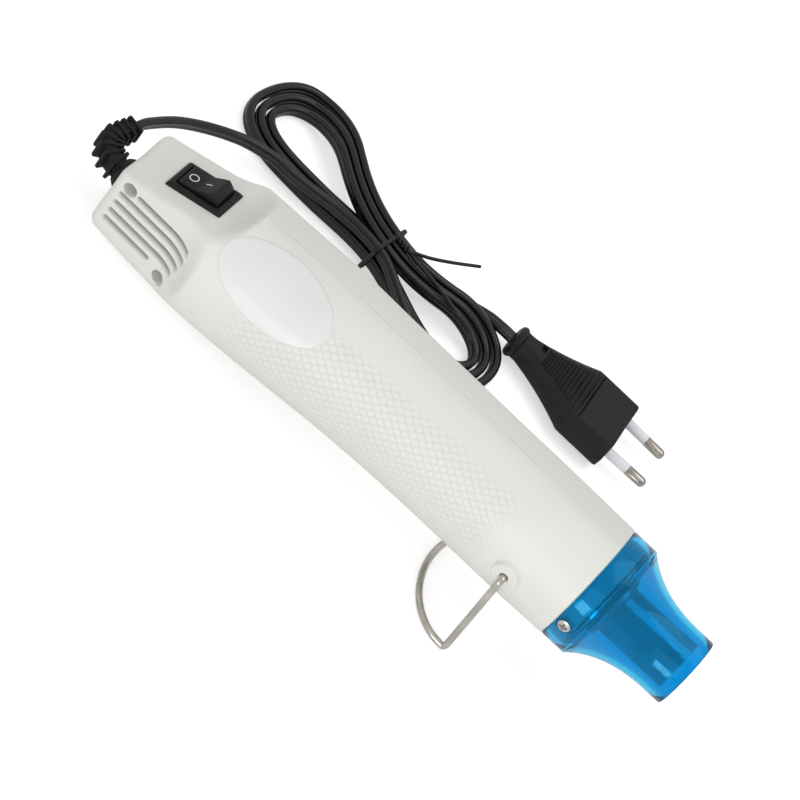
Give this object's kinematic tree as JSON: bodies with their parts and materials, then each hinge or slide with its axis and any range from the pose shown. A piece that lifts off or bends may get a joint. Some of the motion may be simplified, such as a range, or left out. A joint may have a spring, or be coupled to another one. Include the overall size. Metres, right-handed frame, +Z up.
{
  "type": "hot air tool",
  "caption": "Slim hand-held hot air tool with a rocker switch, side vents, a flared nozzle guard, a folding wire stand and a tied flat mains lead with a moulded plug.",
  "frame": {"origin": "on the table, under the middle of the tool without its cord", "axes": "+X towards the nozzle, +Y towards the side where the cord lies, +Z up from the table"},
  "size_m": [0.2687, 0.1476, 0.0691],
  "materials": {
    "off_white_plastic": "satin, fine diamond grip texture on the sides",
    "blue_plastic": "glossy, slightly translucent",
    "label_film": "smooth bare film",
    "black_plastic": "satin",
    "cord_sheath": "smooth, slightly glossy",
    "steel": "bright drawn",
    "brass": "plain",
    "copper_winding": "enamelled",
    "magnet": "matt",
    "mica": "matt",
    "ceramic": "matt",
    "circuit_board": "matt",
    "pin_sleeve": "satin",
    "nickel": "bright plated"
  },
  "bodies": {
    "body": {"housing_left": "off_white_plastic", "housing_right": "off_white_plastic", "nozzle_guard": "blue_plastic", "rating_label": "label_film", "switch_frame": "black_plastic", "motor_end_cap": "black_plastic", "motor_mount": "black_plastic", "rectifier_diode_1": "black_plastic", "rectifier_diode_2": "black_plastic", "rectifier_diode_3": "black_plastic", "rectifier_diode_4": "black_plastic", "plug_body": "black_plastic", "strain_relief": "cord_sheath", "cord_lead": "cord_sheath", "cord_hank": "cord_sheath", "cord_tail": "cord_sheath", "cord_tie": "cord_sheath", "housing_screw_rear": "steel", "housing_screw_front": "steel", "guard_screw_left": "steel", "guard_screw_right": "steel", "heater_barrel": "steel", "heater_coil": "steel", "thermal_fuse": "steel", "motor_can": "steel", "motor_bearing_front": "brass", "motor_bearing_rear": "brass", "switch_terminal_line": "brass", "switch_terminal_load": "brass", "motor_magnet_upper": "magnet", "motor_magnet_lower": "magnet", "mica_sleeve": "mica", "mica_plate_upright": "mica", "mica_plate_level": "mica", "heater_base": "ceramic", "rectifier_board": "circuit_board", "plug_pin_sleeve_1": "pin_sleeve", "plug_pin_sleeve_2": "pin_sleeve", "plug_pin_1": "nickel", "plug_pin_2": "nickel"},
    "rocker": {"switch_rocker": "black_plastic"},
    "stand": {"wire_stand": "steel"},
    "rotor": {"motor_shaft": "steel", "motor_armature": "copper_winding", "fan_impeller": "black_plastic"}
  },
  "joints": [
    {"name": "rocker_tilt", "type": "hinge", "parent": "body", "child": "rocker", "pos_m": [-0.10356, 0, 0.04161], "axis": [0, 1, 0], "range_deg": [0, 22]},
    {"name": "stand_fold", "type": "hinge", "parent": "body", "child": "stand", "pos_m": [0.05829, 0, 0.04332], "axis": [0, -1, 0], "range_deg": [0, 85]},
    {"name": "rotor_spin", "type": "hinge", "parent": "body", "child": "rotor", "pos_m": [0.0284, 0, 0.04071], "axis": [0.9962, 0, 0.0872], "continuous": true}
  ]
}
